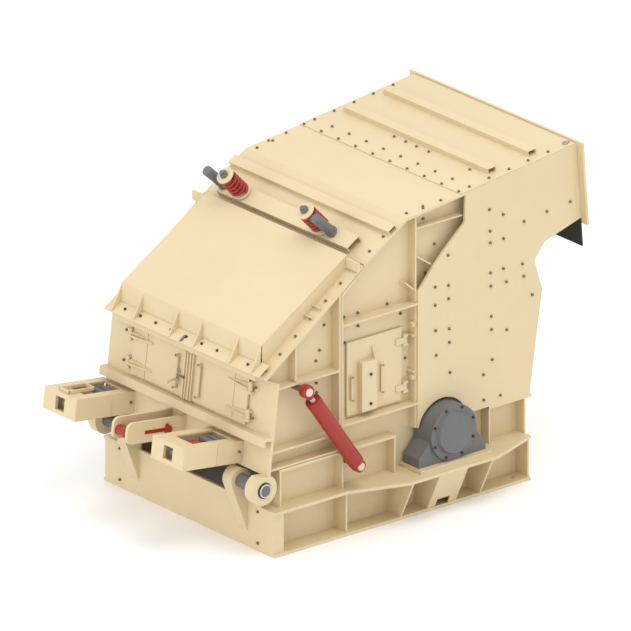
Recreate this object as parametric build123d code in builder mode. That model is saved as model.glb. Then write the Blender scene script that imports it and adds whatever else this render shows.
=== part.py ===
from build123d import *
from math import cos, radians, sin, tan
import os

os.makedirs("parts", exist_ok=True)

# Horizontal shaft impact crusher, millimetres.
# X runs to the feed end, the bearing of the inspection side is at minus Y, Z is up.
# The origin lies on the floor at the centre of the base bolts.

# Plate thicknesses and clearances
WALL = 25
RIB = 16
SKIN = 20
GAP = 6
PIN_FIT = 0.05

# Base frame
BASE_LENGTH = 2518
BASE_FLANGE_HALF = 1030
BASE_HEIGHT = 672
FRONT_PLATE_HEIGHT = 380
MID_FLANGE_TOP = 365
BASE_FRONT_RIB_X = -1155
BASE_MID_RIB_X = -548
CORNER_STRIP = 104
ANCHOR_PITCH_X = 2300
ANCHOR_PITCH_Y = 1900
ANCHOR_HOLE_RADIUS = 18

# Side walls and outer skins
WALL_HALF = 870
SKIN_HALF = 965
SPLIT_X = -556
CREASE_X = 82
CREASE_Z = 2402
SLOPE_ANGLE = 32.6
SLOPE_FOOT_X = -335
GROOVE_X = -388
ROOF_ANGLE = 7.0
ROOF_END_X = 1755
HOOD_TIP_X = 1805
HOOD_TIP_Z = 1993
THROAT_X = 1446
THROAT_Z = 1886
REAR_TOP_X = 1343
REAR_TOP_Z = 1759
REAR_MID_X = 1421
REAR_MID_Z = 1504
REAR_FOOT_X = 1296
SKIN_FRONT_X = 196

END_FLANGE_LIP = 15
END_FLANGE_DROP = 45
CURTAIN_LENGTH = 225
CURTAIN_THICKNESS = 12
CURTAIN_DROP = 10

# Swing frame
HINGE_X = -1324
HINGE_Z = 556
HINGE_PIN_RADIUS = 55
HINGE_EAR_RADIUS = 120
BASE_EAR_RADIUS = 92
RAKE_ANGLE = 36
RAKE_TOP_X = -343
RAKE_TOP_Z = 2128
RAKE_LENGTH = 1163
LEAN = 7
FRONT_FOOT_X = -1290
FRONT_FOOT_Z = 657
FRONT_WALL_LENGTH = 735
FRONT_HALF = 990
SWING_RIB_Z = 831
SWING_UPPER_RIB_Z = 1336
LEDGE_HEIGHT = 308
LEDGE_REACH = 75

# Slope cover
COVER_HALF = 844
COVER_TOP_X = -398
COVER_TOP_Z = 2197
COVER_LENGTH = 978

# Rotor and bearings
ROTOR_X = 440
ROTOR_Z = 620
SHAFT_RADIUS = 85
SHAFT_END_RADIUS = 60
SHAFT_END_LENGTH = 180
ROTOR_LENGTH = 1560
DISC_RADIUS = 455
TIP_RADIUS = 545
BEARING_RADIUS = 222
BEARING_INNER = 895
BEARING_OUTER = 1080
BEARING_POCKET = 458
FOOT_HALF = 328
FOOT_HEIGHT = 75
PAD_THICKNESS = 30
SHELF_HALF = 1193
SHELF_FRONT_X = -58
SHELF_REAR_X = 800

# Cylinders
ROD_PIN_X = -951
ROD_PIN_Z = 1282
BARREL_PIN_X = -446
BARREL_PIN_Z = 554
CYLINDER_HALF = 1034
BARREL_RADIUS = 62
BARREL_LENGTH = 740
BORE_RADIUS = 48
ROD_RADIUS = 21
ROD_LENGTH = 775
EYE_RADIUS = 51
EYE_WIDTH = 56
CYLINDER_PIN_RADIUS = 25
HEAD_CLEARANCE = 9

# Doors
FRONT_DOOR_LOW = 330
FRONT_DOOR_HIGH = 712
FRONT_DOOR_WIDTH = 690
FRONT_DOOR_PLATE = 16
DOOR_GAP = 8
HINGE_BOLT_RADIUS = 10
KNUCKLE_RADIUS = 17
KNUCKLE_HALF = 24
LUG_THICKNESS = 20
LUG_REACH = 40
STRAP_LENGTH = 90
STRAP_THICKNESS = 12
FRONT_HINGE_SIDE = 722
HINGE_OUT = 24
FRONT_HINGE_HEIGHTS = (410, 630)
SIDE_HINGE_HEIGHTS = (1010, 1390)
SIDE_DOOR_FRONT_X = -440
SIDE_DOOR_REAR_X = 95
SIDE_DOOR_LOW = 905
SIDE_DOOR_HIGH = 1500
SIDE_HINGE_X = 124

# Adjusters on the front wall
ADJUSTER_LENGTH = 575
ADJUSTER_WIDTH = 382
ADJUSTER_HEIGHT = 176
ADJUSTER_WALL = 15
ADJUSTER_FOOT = 20
ADJUSTER_NEAR = 480
ADJUSTER_FAR = -826
CENTRE_BRACKET = -109
CENTRE_WIDTH = 192

# Spring beam and spring assemblies
BEAM_X = -288
BEAM_HALF = 791
BEAM_WIDTH = 120
BEAM_HEIGHT = 95
BEAM_WALL = 10
SPRING_MIDDLE = 57
SPRING_HALF = 481
SPRING_RADIUS = 72
SPRING_LENGTH = 200
SPRING_ROD_RADIUS = 18
CAP_THICKNESS = 14
TUBE_HALF = 680
TUBE_RADIUS = 42
TUBE_LENGTH = 240

base_end = BASE_LENGTH / 2
flange_under = BASE_HEIGHT - WALL + 3
slope_rise = tan(radians(SLOPE_ANGLE))
roof_rise = tan(radians(ROOF_ANGLE))
rake_rise = tan(radians(RAKE_ANGLE))


def slope_z(x):
    return CREASE_Z + (x - CREASE_X) * slope_rise


def roof_z(x):
    return CREASE_Z + (x - CREASE_X) * roof_rise


def rake_z(x):
    return RAKE_TOP_Z + (x - RAKE_TOP_X) * rake_rise


def plate(outline, y_low, y_high, mode=Mode.ADD):
    with BuildSketch(Plane.XZ.offset(-y_high)) as profile:
        with BuildLine():
            Polyline(*outline, close=True)
        make_face()
    extrude(profile.sketch, amount=y_high - y_low, mode=mode)


def block(x_low, x_high, y_low, y_high, z_low, z_high, mode=Mode.ADD):
    with BuildSketch(Plane.XY.offset(z_low)) as profile:
        with Locations(((x_low + x_high) / 2, (y_low + y_high) / 2)):
            Rectangle(x_high - x_low, y_high - y_low)
    extrude(profile.sketch, amount=z_high - z_low, mode=mode)


def disc(x, z, radius, y_low, y_high, mode=Mode.ADD):
    with BuildSketch(Plane.XZ.offset(-y_high)) as profile:
        with Locations((x, z)):
            Circle(radius)
    extrude(profile.sketch, amount=y_high - y_low, mode=mode)


def save(piece, label):
    piece.part.label = label
    export_step(piece.part, f"parts/{label}.step")


def save_both(piece, label):
    with BuildPart() as twin:
        mirror(piece.part, about=Plane.XZ)
    save(piece, f"{label}_near")
    save(twin, f"{label}_far")


# Base side: web, floor flange, middle flange and joint flange with ribs
with BuildPart() as base_side:
    plate(
        [
            (-base_end + WALL, 0),
            (base_end - WALL, 0),
            (base_end - WALL, flange_under),
            (BASE_FRONT_RIB_X, flange_under),
            (BASE_FRONT_RIB_X - 60, MID_FLANGE_TOP),
            (-base_end + WALL, MID_FLANGE_TOP),
        ],
        -WALL_HALF,
        -WALL_HALF + WALL,
    )
    block(-base_end, base_end, -BASE_FLANGE_HALF, -WALL_HALF, 0, WALL)
    block(BASE_FRONT_RIB_X, base_end, -SKIN_HALF, -WALL_HALF + WALL, flange_under, BASE_HEIGHT)
    with BuildSketch(Plane.XY.offset(MID_FLANGE_TOP - WALL)):
        with BuildLine():
            Polyline(
                (-base_end, -WALL_HALF),
                (-base_end, -BASE_FLANGE_HALF),
                (BASE_MID_RIB_X, -BASE_FLANGE_HALF),
                (SHELF_FRONT_X, -SHELF_HALF),
                (SHELF_REAR_X, -SHELF_HALF),
                (base_end, -BASE_FLANGE_HALF),
                (base_end, -WALL_HALF),
                close=True,
            )
        make_face()
    extrude(amount=WALL)
    for x in (BASE_MID_RIB_X, base_end - RIB):
        block(x, x + RIB, -BASE_FLANGE_HALF + 20, -WALL_HALF, WALL, MID_FLANGE_TOP - WALL)
    for x in (BASE_FRONT_RIB_X, BASE_MID_RIB_X, base_end - RIB):
        block(x, x + RIB, -SKIN_HALF, -WALL_HALF, MID_FLANGE_TOP, flange_under)
    block(
        -base_end,
        -base_end + CORNER_STRIP,
        -BASE_FLANGE_HALF + RIB,
        -BASE_FLANGE_HALF + 2 * RIB,
        WALL,
        MID_FLANGE_TOP - WALL,
    )
    block(
        -base_end,
        -base_end + RIB,
        -BASE_FLANGE_HALF + 2 * RIB,
        -WALL_HALF,
        WALL,
        MID_FLANGE_TOP - WALL,
    )
    disc(ROTOR_X, ROTOR_Z, SHAFT_RADIUS + 25, -WALL_HALF, -WALL_HALF + WALL, Mode.SUBTRACT)
    block(
        ROTOR_X - BEARING_POCKET,
        ROTOR_X + BEARING_POCKET,
        -SKIN_HALF,
        -WALL_HALF,
        flange_under,
        BASE_HEIGHT,
        Mode.SUBTRACT,
    )
    with Locations(Plane.XY):
        with GridLocations(ANCHOR_PITCH_X, ANCHOR_PITCH_Y, 2, 2):
            Cylinder(ANCHOR_HOLE_RADIUS, 3 * WALL, mode=Mode.SUBTRACT)
save_both(base_side, "base_side")

# Base end plates
with BuildPart() as base_front_plate:
    block(-base_end, -base_end + WALL, -WALL_HALF, WALL_HALF, 0, FRONT_PLATE_HEIGHT)
save(base_front_plate, "base_front_plate")

with BuildPart() as base_rear_plate:
    block(base_end - WALL, base_end, -WALL_HALF, WALL_HALF, 0, flange_under)
    block(base_end, base_end + 60, -SKIN_HALF, SKIN_HALF, flange_under, BASE_HEIGHT)
save(base_rear_plate, "base_rear_plate")

# Bearing pedestal: ribs from shelf to floor flange and the thick pad on the shelf
with BuildPart() as bearing_pedestal:
    block(
        ROTOR_X - FOOT_HALF - 20,
        ROTOR_X + FOOT_HALF + 20,
        -SHELF_HALF + 60,
        -WALL_HALF,
        MID_FLANGE_TOP,
        MID_FLANGE_TOP + PAD_THICKNESS,
    )
    for x in (SHELF_FRONT_X + 30, 235, 517 - RIB, SHELF_REAR_X - 50):
        with BuildSketch(Plane.YZ.offset(x)):
            with BuildLine():
                Polyline(
                    (-WALL_HALF, WALL),
                    (-BASE_FLANGE_HALF, WALL),
                    (-SHELF_HALF + 10, MID_FLANGE_TOP - WALL),
                    (-WALL_HALF, MID_FLANGE_TOP - WALL),
                    close=True,
                )
            make_face()
        extrude(amount=RIB)
save_both(bearing_pedestal, "bearing_pedestal")

# Fixed hinge ears on the base front plate, and the two hinge pins
with BuildPart() as base_hinge_ears:
    for side in (-1, 1):
        y_low, y_high = sorted((side * 600, side * 707))
        with BuildSketch(Plane.XZ.offset(-y_high)):
            with Locations((HINGE_X, HINGE_Z)):
                Circle(BASE_EAR_RADIUS)
            with BuildLine():
                Polyline(
                    (HINGE_X - BASE_EAR_RADIUS + 2, HINGE_Z - 20),
                    (-base_end, 120),
                    (-base_end, FRONT_PLATE_HEIGHT),
                    (-base_end + WALL, FRONT_PLATE_HEIGHT),
                    (HINGE_X + BASE_EAR_RADIUS - 4, HINGE_Z + 20),
                    close=True,
                )
            make_face()
        extrude(amount=y_high - y_low)
        disc(HINGE_X, HINGE_Z, HINGE_PIN_RADIUS + PIN_FIT, y_low, y_high, Mode.SUBTRACT)
save(base_hinge_ears, "base_hinge_ears")

with BuildPart() as hinge_pins:
    for side in (-1, 1):
        y_low, y_high = sorted((side * 590, side * 1005))
        disc(HINGE_X, HINGE_Z, HINGE_PIN_RADIUS, y_low, y_high)
save(hinge_pins, "hinge_pins")

# Bearing housing: round barrel on two feet
with BuildPart() as bearing_housing:
    pad_top = MID_FLANGE_TOP + PAD_THICKNESS
    with BuildSketch(Plane.XZ.offset(BEARING_INNER)):
        with Locations((ROTOR_X, ROTOR_Z)):
            Circle(BEARING_RADIUS - 2)
        with BuildLine():
            Polyline(
                (ROTOR_X - FOOT_HALF, pad_top),
                (ROTOR_X + FOOT_HALF, pad_top),
                (ROTOR_X + FOOT_HALF, pad_top + FOOT_HEIGHT),
                (ROTOR_X + BEARING_RADIUS - 10, ROTOR_Z - 30),
                (ROTOR_X - BEARING_RADIUS + 10, ROTOR_Z - 30),
                (ROTOR_X - FOOT_HALF, pad_top + FOOT_HEIGHT),
                close=True,
            )
        make_face()
    extrude(amount=BEARING_OUTER - BEARING_INNER)
    disc(ROTOR_X, ROTOR_Z, SHAFT_RADIUS + PIN_FIT, -BEARING_OUTER, -BEARING_INNER, Mode.SUBTRACT)
save_both(bearing_housing, "bearing_housing")

with BuildPart() as bearing_cover_near:
    disc(ROTOR_X, ROTOR_Z, BEARING_RADIUS, -BEARING_OUTER - 22, -BEARING_OUTER)
    with BuildSketch(Plane.XZ.offset(BEARING_OUTER + 22)):
        with Locations((ROTOR_X, ROTOR_Z)):
            Circle(BEARING_RADIUS - 50)
    extrude(amount=26, taper=30)
save(bearing_cover_near, "bearing_cover_near")

with BuildPart() as bearing_cover_far:
    disc(ROTOR_X, ROTOR_Z, BEARING_RADIUS, BEARING_OUTER, BEARING_OUTER + 22)
    disc(ROTOR_X, ROTOR_Z, SHAFT_RADIUS + 2, BEARING_OUTER, BEARING_OUTER + 22, Mode.SUBTRACT)
save(bearing_cover_far, "bearing_cover_far")

# Rotor: shaft, discs and blow bars
with BuildPart() as rotor_shaft:
    disc(ROTOR_X, ROTOR_Z, SHAFT_RADIUS, -BEARING_OUTER + 5, BEARING_OUTER + 22)
    disc(
        ROTOR_X,
        ROTOR_Z,
        SHAFT_END_RADIUS,
        BEARING_OUTER + 22,
        BEARING_OUTER + 22 + SHAFT_END_LENGTH,
    )
save(rotor_shaft, "rotor_shaft")

bar_half = 60
with BuildPart() as rotor_body:
    disc(ROTOR_X, ROTOR_Z, 230, -ROTOR_LENGTH / 2, ROTOR_LENGTH / 2)
    for number in range(5):
        y = -ROTOR_LENGTH / 2 + number * (ROTOR_LENGTH - 80) / 4
        disc(ROTOR_X, ROTOR_Z, DISC_RADIUS, y, y + 80)
    disc(ROTOR_X, ROTOR_Z, SHAFT_RADIUS, -ROTOR_LENGTH / 2, ROTOR_LENGTH / 2, Mode.SUBTRACT)
    with PolarLocations(0, 4):
        pass
    for number in range(4):
        with BuildSketch(Plane.XZ.offset(-ROTOR_LENGTH / 2)):
            with Locations((ROTOR_X, ROTOR_Z)):
                with PolarLocations(DISC_RADIUS - 60, 1, start_angle=90 * number + 45):
                    Rectangle(180, bar_half * 2)
        extrude(amount=ROTOR_LENGTH, mode=Mode.SUBTRACT)
save(rotor_body, "rotor_body")

with BuildPart() as blow_bars:
    for number in range(4):
        with BuildSketch(Plane.XZ.offset(-ROTOR_LENGTH / 2)):
            with Locations((ROTOR_X, ROTOR_Z)):
                with PolarLocations((DISC_RADIUS - 150 + TIP_RADIUS) / 2, 1, start_angle=90 * number + 45):
                    Rectangle(TIP_RADIUS - DISC_RADIUS + 150, bar_half * 2)
        extrude(amount=ROTOR_LENGTH)
save(blow_bars, "blow_bars")

# Fixed housing side: inner wall with joint flanges, ribs and the inspection opening
fixed_face = SPLIT_X + GAP / 2
slope_drop = SKIN / cos(radians(SLOPE_ANGLE))
roof_drop = SKIN / cos(radians(ROOF_ANGLE))
rake_drop = (SKIN + GAP) / cos(radians(RAKE_ANGLE))
rear_outline = [
    (ROOF_END_X, roof_z(ROOF_END_X) - roof_drop),
    (HOOD_TIP_X, HOOD_TIP_Z),
    (THROAT_X, THROAT_Z),
    (REAR_TOP_X, REAR_TOP_Z),
    (REAR_MID_X, REAR_MID_Z),
    (REAR_FOOT_X, BASE_HEIGHT),
]
with BuildPart() as housing_side:
    plate(
        [
            (fixed_face, BASE_HEIGHT),
            (fixed_face, rake_z(fixed_face) - rake_drop),
            (SLOPE_FOOT_X, rake_z(SLOPE_FOOT_X) - rake_drop),
            (SLOPE_FOOT_X, slope_z(SLOPE_FOOT_X) - slope_drop),
            (CREASE_X, CREASE_Z - slope_drop),
            (CREASE_X, CREASE_Z - roof_drop),
            *rear_outline,
        ],
        -WALL_HALF,
        -WALL_HALF + WALL,
    )
    block(
        fixed_face,
        fixed_face + RIB,
        -SKIN_HALF,
        -WALL_HALF,
        BASE_HEIGHT,
        rake_z(fixed_face) - rake_drop,
    )
    plate(
        [
            (fixed_face, rake_z(fixed_face) - rake_drop),
            (SLOPE_FOOT_X, rake_z(SLOPE_FOOT_X) - rake_drop),
            (SLOPE_FOOT_X, rake_z(SLOPE_FOOT_X) - rake_drop - RIB),
            (fixed_face + RIB, rake_z(fixed_face) - rake_drop - RIB),
        ],
        -SKIN_HALF,
        -WALL_HALF,
    )
    block(
        SKIN_FRONT_X - RIB,
        SKIN_FRONT_X,
        -SKIN_HALF + SKIN,
        -WALL_HALF,
        BASE_HEIGHT,
        roof_z(SKIN_FRONT_X - RIB) - roof_drop,
    )
    block(fixed_face, SKIN_FRONT_X, -SKIN_HALF, -WALL_HALF, 880 - RIB, 880)
    block(fixed_face, SKIN_FRONT_X, -SKIN_HALF, -WALL_HALF, 1690 - RIB, 1690)
    block(
        SIDE_DOOR_FRONT_X + 60,
        SIDE_DOOR_REAR_X - 60,
        -WALL_HALF,
        -WALL_HALF + WALL,
        SIDE_DOOR_LOW + 60,
        SIDE_DOOR_HIGH - 60,
        Mode.SUBTRACT,
    )
    disc(ROTOR_X, ROTOR_Z, SHAFT_RADIUS + 25, -SKIN_HALF, -WALL_HALF + WALL, Mode.SUBTRACT)
    for height in SIDE_HINGE_HEIGHTS:
        for low in (height - KNUCKLE_HALF - 1 - LUG_THICKNESS, height + KNUCKLE_HALF + 1):
            block(
                SIDE_HINGE_X - 22,
                SIDE_HINGE_X + 22,
                -WALL_HALF - LUG_REACH,
                -WALL_HALF,
                low,
                low + LUG_THICKNESS,
            )
        with BuildSketch(Plane.XY.offset(height - KNUCKLE_HALF - LUG_THICKNESS - 8)):
            with Locations((SIDE_HINGE_X, -WALL_HALF - HINGE_OUT)):
                Circle(HINGE_BOLT_RADIUS)
        extrude(amount=2 * (KNUCKLE_HALF + LUG_THICKNESS + 8))
save_both(housing_side, "housing_side")

# Outer skin plate of the feed half
with BuildPart() as feed_side_plate:
    plate(
        [
            (SKIN_FRONT_X, BASE_HEIGHT),
            (SKIN_FRONT_X, 1784),
            (350, 1957),
            (451, 2057),
            (652, 2232),
            (660, roof_z(660) - roof_drop),
            *rear_outline,
        ],
        -SKIN_HALF,
        -SKIN_HALF + SKIN,
    )
    disc(ROTOR_X, ROTOR_Z, BEARING_RADIUS + 20, -SKIN_HALF, -SKIN_HALF + SKIN, Mode.SUBTRACT)
save_both(feed_side_plate, "feed_side_plate")

# Roof and upper slope
with BuildPart() as roof_plate:
    plate(
        [
            (CREASE_X, CREASE_Z - roof_drop),
            (CREASE_X, CREASE_Z),
            (ROOF_END_X, roof_z(ROOF_END_X)),
            (ROOF_END_X, roof_z(ROOF_END_X) - roof_drop),
        ],
        -SKIN_HALF,
        SKIN_HALF,
    )
save(roof_plate, "roof_plate")

with BuildPart() as upper_slope_plate:
    plate(
        [
            (CREASE_X, CREASE_Z - slope_drop),
            (CREASE_X, CREASE_Z),
            (SLOPE_FOOT_X, slope_z(SLOPE_FOOT_X)),
            (SLOPE_FOOT_X, slope_z(SLOPE_FOOT_X) - slope_drop),
        ],
        -SKIN_HALF,
        SKIN_HALF,
    )
    plate(
        [
            (SLOPE_FOOT_X, slope_z(SLOPE_FOOT_X) - slope_drop),
            (SLOPE_FOOT_X, slope_z(SLOPE_FOOT_X)),
            (GROOVE_X, slope_z(GROOVE_X)),
            (GROOVE_X, slope_z(GROOVE_X) - slope_drop),
        ],
        -COVER_HALF + GAP,
        COVER_HALF - GAP,
    )
save(upper_slope_plate, "upper_slope_plate")

CHANNEL_WIDTH = 80
CHANNEL_HEIGHT = 40
CHANNEL_WALL = 8
with BuildPart() as roof_ribs:
    for x in (700, 1370):
        roof_frame = Plane(origin=(x, -SKIN_HALF + 20, roof_z(x)), x_dir=(1, 0, roof_rise), z_dir=(0, 1, 0))
        with BuildSketch(roof_frame):
            with Locations((0, -CHANNEL_HEIGHT / 2)):
                Rectangle(CHANNEL_WIDTH, CHANNEL_HEIGHT)
            with Locations((0, -CHANNEL_HEIGHT / 2 + CHANNEL_WALL / 2)):
                Rectangle(
                    CHANNEL_WIDTH - 2 * CHANNEL_WALL,
                    CHANNEL_HEIGHT - CHANNEL_WALL,
                    mode=Mode.SUBTRACT,
                )
        extrude(amount=2 * SKIN_HALF - 40)
save(roof_ribs, "roof_ribs")

# Rear wall and feed chute
end_rise = Vector(ROOF_END_X - HOOD_TIP_X, 0, roof_z(ROOF_END_X) - HOOD_TIP_Z)
with BuildPart() as rear_wall:
    plate(
        [
            (REAR_TOP_X, REAR_TOP_Z),
            (REAR_MID_X, REAR_MID_Z),
            (REAR_FOOT_X, BASE_HEIGHT),
            (REAR_FOOT_X - WALL, BASE_HEIGHT),
            (REAR_MID_X - WALL, REAR_MID_Z),
            (REAR_TOP_X - WALL, REAR_TOP_Z),
        ],
        -WALL_HALF + WALL,
        WALL_HALF - WALL,
    )
save(rear_wall, "rear_wall")

with BuildPart() as feed_chute:
    plate(
        [
            (HOOD_TIP_X, HOOD_TIP_Z),
            (THROAT_X, THROAT_Z),
            (REAR_TOP_X, REAR_TOP_Z),
            (REAR_TOP_X - WALL, REAR_TOP_Z),
            (980, 1350),
            (965, 1367),
            (REAR_TOP_X - 15, REAR_TOP_Z + 22),
            (THROAT_X - 10, THROAT_Z + WALL),
            (HOOD_TIP_X + end_rise.X / end_rise.Z * WALL, HOOD_TIP_Z + WALL),
        ],
        -WALL_HALF + WALL,
        WALL_HALF - WALL,
    )
save(feed_chute, "feed_chute")

end_frame = Plane(
    origin=(HOOD_TIP_X, 0, HOOD_TIP_Z),
    x_dir=(0, 1, 0),
    z_dir=(end_rise.Z, 0, -end_rise.X),
)
with BuildPart() as feed_end_flange:
    with BuildSketch(end_frame):
        with Locations((0, (end_rise.length + END_FLANGE_LIP - END_FLANGE_DROP) / 2)):
            Rectangle(2 * BASE_FLANGE_HALF, end_rise.length + END_FLANGE_LIP + END_FLANGE_DROP)
        with Locations((0, end_rise.length / 2)):
            Rectangle(
                2 * (WALL_HALF - WALL),
                end_rise.length - 2 * END_FLANGE_DROP,
                mode=Mode.SUBTRACT,
            )
    extrude(amount=SKIN)
save(feed_end_flange, "feed_end_flange")

with BuildPart() as feed_curtain:
    with BuildSketch(end_frame.offset(-CURTAIN_THICKNESS)):
        with Locations((0, -CURTAIN_LENGTH / 2 - CURTAIN_DROP)):
            Rectangle(2 * SKIN_HALF, CURTAIN_LENGTH)
    extrude(amount=CURTAIN_THICKNESS)
save(feed_curtain, "feed_curtain")

# Upper impact apron hung under the slope
with BuildPart() as upper_apron:
    plate(
        [(60, 2250), (-40, 1700), (-20, 1350), (60, 1350), (40, 1700), (140, 2250)],
        -WALL_HALF + WALL + 10,
        WALL_HALF - WALL - 10,
    )
    disc(100, 2250, 40, -WALL_HALF + WALL, WALL_HALF - WALL)
save(upper_apron, "upper_apron")

# Spring beam on the slope and its two spring assemblies
slope_along = Vector(cos(radians(SLOPE_ANGLE)), 0, sin(radians(SLOPE_ANGLE)))
slope_out = Vector(-sin(radians(SLOPE_ANGLE)), 0, cos(radians(SLOPE_ANGLE)))
beam_foot = Vector(BEAM_X, 0, slope_z(BEAM_X))
with BuildPart() as spring_beam:
    beam_frame = Plane(
        origin=beam_foot + Vector(0, BEAM_HALF, 0),
        x_dir=slope_along,
        z_dir=(0, -1, 0),
    )
    with BuildSketch(beam_frame):
        with Locations((0, BEAM_HEIGHT / 2)):
            Rectangle(BEAM_WIDTH, BEAM_HEIGHT)
        with Locations((0, (BEAM_HEIGHT - BEAM_WALL) / 2)):
            Rectangle(
                BEAM_WIDTH - 2 * BEAM_WALL,
                BEAM_HEIGHT - BEAM_WALL,
                mode=Mode.SUBTRACT,
            )
    extrude(amount=2 * BEAM_HALF)
save(spring_beam, "spring_beam")

beam_top = beam_foot + slope_out * BEAM_HEIGHT


def spring_plane(y, height):
    return Plane(
        origin=beam_top + slope_out * height + Vector(0, y, 0),
        x_dir=(0, 1, 0),
        z_dir=slope_out,
    )


spring_places = [SPRING_MIDDLE - SPRING_HALF, SPRING_MIDDLE + SPRING_HALF]
tube_places = [SPRING_MIDDLE - TUBE_HALF, SPRING_MIDDLE + TUBE_HALF]
with BuildPart() as spring_rods:
    for y in spring_places:
        with BuildSketch(spring_plane(y, 0)):
            Circle(SPRING_ROD_RADIUS)
        extrude(amount=SPRING_LENGTH + 70)
save(spring_rods, "spring_rods")

with BuildPart() as guide_tubes:
    for y in tube_places:
        with BuildSketch(spring_plane(y, 0)):
            Circle(TUBE_RADIUS)
        extrude(amount=TUBE_LENGTH)
        with BuildSketch(spring_plane(y, 0)):
            Circle(TUBE_RADIUS + 16)
        extrude(amount=30)
save(guide_tubes, "guide_tubes")

with BuildPart() as springs:
    for y in spring_places:
        with BuildSketch(spring_plane(y, CAP_THICKNESS)):
            Circle(SPRING_RADIUS)
            Circle(SPRING_RADIUS - 30, mode=Mode.SUBTRACT)
        extrude(amount=SPRING_LENGTH - 2 * CAP_THICKNESS)
save(springs, "springs")

with BuildPart() as spring_caps:
    for y in spring_places:
        for height in (0, SPRING_LENGTH - CAP_THICKNESS):
            with BuildSketch(spring_plane(y, height)):
                Circle(SPRING_RADIUS + 6)
                Circle(SPRING_ROD_RADIUS, mode=Mode.SUBTRACT)
            extrude(amount=CAP_THICKNESS)
save(spring_caps, "spring_caps")

# Swing frame side: wall, joint flanges, rake flange
swing_face = SPLIT_X - GAP / 2
swing_low = BASE_HEIGHT + GAP
rake_end_x = RAKE_TOP_X - RAKE_LENGTH * cos(radians(RAKE_ANGLE))
rake_thick = SKIN / cos(radians(RAKE_ANGLE))
wall_out = Vector(-cos(radians(LEAN)), 0, sin(radians(LEAN)))
wall_up = Vector(sin(radians(LEAN)), 0, cos(radians(LEAN)))


def wall_point(height, out):
    place = Vector(FRONT_FOOT_X, 0, FRONT_FOOT_Z) + wall_up * height + wall_out * out
    return (place.X, place.Z)


def wall_inner_x(z):
    return FRONT_FOOT_X + (z - FRONT_FOOT_Z) * tan(radians(LEAN)) + WALL / cos(radians(LEAN))


front_top_x, front_top_z = wall_point(FRONT_WALL_LENGTH, -WALL)
with BuildPart() as swing_side:
    plate(
        [
            (wall_inner_x(swing_low), swing_low),
            (swing_face, swing_low),
            (swing_face, rake_z(swing_face) - rake_thick),
            (front_top_x, rake_z(front_top_x) - rake_thick),
            (front_top_x, front_top_z),
        ],
        -WALL_HALF,
        -WALL_HALF + WALL,
    )
    plate(
        [
            (swing_face - RIB, swing_low),
            (swing_face, swing_low),
            (swing_face, rake_z(swing_face) - rake_thick),
            (swing_face - RIB, rake_z(swing_face - RIB) - rake_thick),
        ],
        -SKIN_HALF,
        -WALL_HALF,
    )
    for z in (swing_low, SWING_RIB_Z - RIB, SWING_UPPER_RIB_Z - RIB):
        block(wall_inner_x(z + RIB), swing_face, -SKIN_HALF, -WALL_HALF, z, z + RIB)
    plate(
        [
            (RAKE_TOP_X, RAKE_TOP_Z),
            (rake_end_x, rake_z(rake_end_x)),
            (rake_end_x, rake_z(rake_end_x) - rake_thick),
            (RAKE_TOP_X, RAKE_TOP_Z - rake_thick),
        ],
        -SKIN_HALF,
        -COVER_HALF,
    )
save_both(swing_side, "swing_side")

# Front wall in its own leaning frame: x to the near side, y up the wall, z outwards
wall_face = Plane(origin=(FRONT_FOOT_X, 0, FRONT_FOOT_Z), x_dir=(0, -1, 0), z_dir=wall_out)


def wall_block(x_low, x_high, y_low, y_high, z_low, z_high, mode=Mode.ADD):
    with BuildSketch(wall_face.offset(z_low)) as profile:
        with Locations(((x_low + x_high) / 2, (y_low + y_high) / 2)):
            Rectangle(x_high - x_low, y_high - y_low)
    extrude(profile.sketch, amount=z_high - z_low, mode=mode)


def wall_round(x, out, radius, y_low, y_high, mode=Mode.ADD):
    foot = Vector(FRONT_FOOT_X, 0, FRONT_FOOT_Z) + wall_up * y_low
    with BuildSketch(Plane(origin=foot, x_dir=(0, -1, 0), z_dir=wall_up)) as profile:
        with Locations((x, -out)):
            Circle(radius)
    extrude(profile.sketch, amount=y_high - y_low, mode=mode)


with BuildPart() as swing_front_wall:
    wall_block(-FRONT_HALF, FRONT_HALF, 0, FRONT_WALL_LENGTH, -WALL, 0)
    for side in (-1, 1):
        wall_block(
            side * FRONT_DOOR_WIDTH / 2 - FRONT_DOOR_WIDTH / 2 + 40,
            side * FRONT_DOOR_WIDTH / 2 + FRONT_DOOR_WIDTH / 2 - 40,
            FRONT_DOOR_LOW + 40,
            FRONT_DOOR_HIGH - 40,
            -WALL,
            0,
            Mode.SUBTRACT,
        )
        for height in FRONT_HINGE_HEIGHTS:
            for low in (height - KNUCKLE_HALF - 1 - LUG_THICKNESS, height + KNUCKLE_HALF + 1):
                wall_block(
                    side * FRONT_HINGE_SIDE - 22,
                    side * FRONT_HINGE_SIDE + 22,
                    low,
                    low + LUG_THICKNESS,
                    0,
                    LUG_REACH,
                )
            wall_round(
                side * FRONT_HINGE_SIDE,
                HINGE_OUT,
                HINGE_BOLT_RADIUS,
                height - KNUCKLE_HALF - LUG_THICKNESS - 8,
                height + KNUCKLE_HALF + LUG_THICKNESS + 8,
            )
save(swing_front_wall, "swing_front_wall")

with BuildPart() as swing_ledge:
    wall_block(-FRONT_HALF, FRONT_HALF, LEDGE_HEIGHT - WALL, LEDGE_HEIGHT, 0, LEDGE_REACH)
    wall_block(-FRONT_HALF, FRONT_HALF, LEDGE_HEIGHT - 70, LEDGE_HEIGHT - WALL, LEDGE_REACH - SKIN, LEDGE_REACH)
save(swing_ledge, "swing_ledge")

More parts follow.
